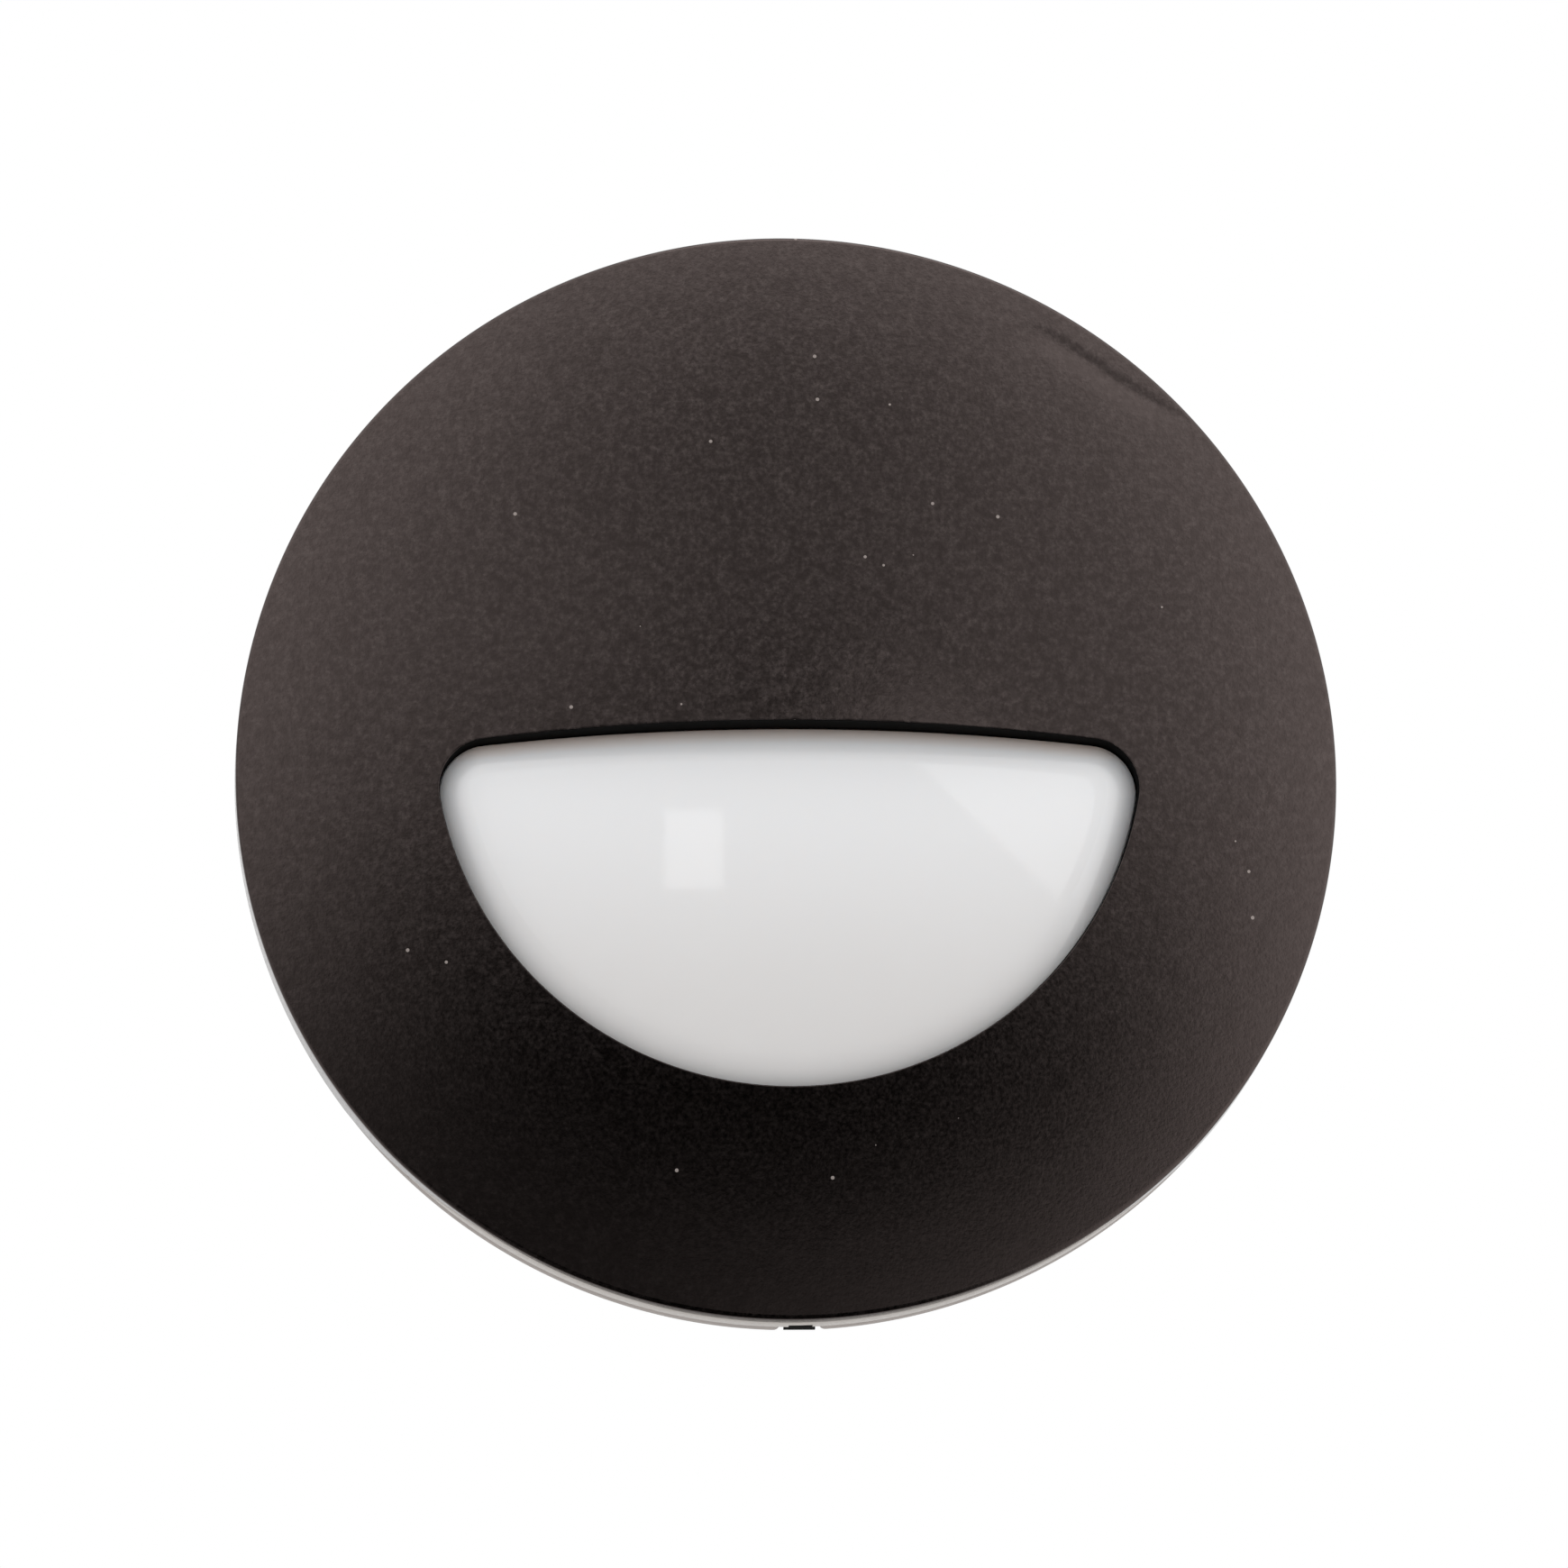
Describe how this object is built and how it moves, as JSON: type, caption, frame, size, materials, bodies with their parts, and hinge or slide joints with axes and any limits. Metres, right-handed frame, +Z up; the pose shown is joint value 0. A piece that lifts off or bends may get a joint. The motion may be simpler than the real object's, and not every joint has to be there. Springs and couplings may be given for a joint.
{
  "type": "recessed eyelid wall light",
  "caption": "Round recessed wall light with a black domed face, an eyelid-shaped opal window and a silver housing held in the wall by two sprung clips.",
  "frame": {"origin": "on the light's axis, in the plane of the wall, which is the rear face of the wall gasket", "axes": "+X right seen from the front, +Y into the wall, +Z up"},
  "size_m": [0.08, 0.0525, 0.08],
  "materials": {
    "face_plastic": "fine moulded texture, satin black",
    "opal_lens": "high gloss opal",
    "cast_alloy": "die cast, fine satin",
    "grey_silicone": "matte silicone",
    "black_rubber": "matte",
    "white_plastic": "satin white",
    "led_board_white": "white solder mask",
    "led_phosphor": "yellow phosphor in white case",
    "thermal_pad_grey": "soft matte",
    "plated_screw": "bright zinc plate",
    "spring_steel": "nickel plated",
    "red_lead": "extruded insulation",
    "black_lead": "extruded insulation",
    "insulation_film": "translucent polyester film",
    "driver_board_green": "green solder mask",
    "component_black": "moulded epoxy",
    "capacitor_sleeve": "shrunk sleeve",
    "copper_coil": "enamelled copper",
    "fuse_glass": "clear glass",
    "terminal_nylon": "natural nylon",
    "gland_nylon": "black nylon",
    "clip_sleeve_rubber": "dipped vinyl"
  },
  "bodies": {
    "housing": {"lens_gasket": "grey_silicone", "housing": "cast_alloy", "wall_gasket": "grey_silicone", "reflector": "white_plastic", "led_board": "led_board_white", "led_chips": "led_phosphor", "led_board_screws": "plated_screw", "thermal_pad": "thermal_pad_grey", "lead_red": "red_lead", "lead_black": "black_lead", "driver_insulator": "insulation_film", "driver_board": "driver_board_green", "driver_screws": "plated_screw", "driver_capacitor": "capacitor_sleeve", "driver_inductor": "copper_coil", "driver_rectifier": "component_black", "driver_chip": "component_black", "driver_fuse": "fuse_glass", "terminal_block": "terminal_nylon", "terminal_screws": "plated_screw", "rear_cap": "cast_alloy", "cap_seal": "black_rubber", "cap_screws": "plated_screw", "gland_body": "gland_nylon", "gland_washer": "black_rubber", "gland_seal": "black_rubber", "gland_nut": "gland_nylon", "gland_locknut": "gland_nylon", "right_clip_pin": "plated_screw", "left_clip_pin": "plated_screw", "right_clip_spring": "spring_steel", "left_clip_spring": "spring_steel"},
    "cover": {"face_cover": "face_plastic", "diffuser_lens": "opal_lens", "lens_screws": "plated_screw"},
    "right_clip": {"right_clip": "spring_steel", "right_clip_sleeve": "clip_sleeve_rubber"},
    "left_clip": {"left_clip": "spring_steel", "left_clip_sleeve": "clip_sleeve_rubber"}
  },
  "joints": [
    {"name": "cover_pull", "type": "slide", "parent": "housing", "child": "cover", "axis": [0, -1, 0], "range_m": [0, 0.014]},
    {"name": "right_clip_hinge", "type": "hinge", "parent": "housing", "child": "right_clip", "pos_m": [0.0253, 0.0182, 0], "axis": [0, 0, 1], "range_deg": [0, 125], "stiffness_Nm_per_rad": 0.05, "springref_deg": -34.38, "deforming": ["right_clip_spring"]},
    {"name": "left_clip_hinge", "type": "hinge", "parent": "housing", "child": "left_clip", "pos_m": [-0.0253, 0.0182, 0], "axis": [0, 0, -1], "range_deg": [0, 125], "stiffness_Nm_per_rad": 0.05, "springref_deg": -34.38, "deforming": ["left_clip_spring"]}
  ]
}
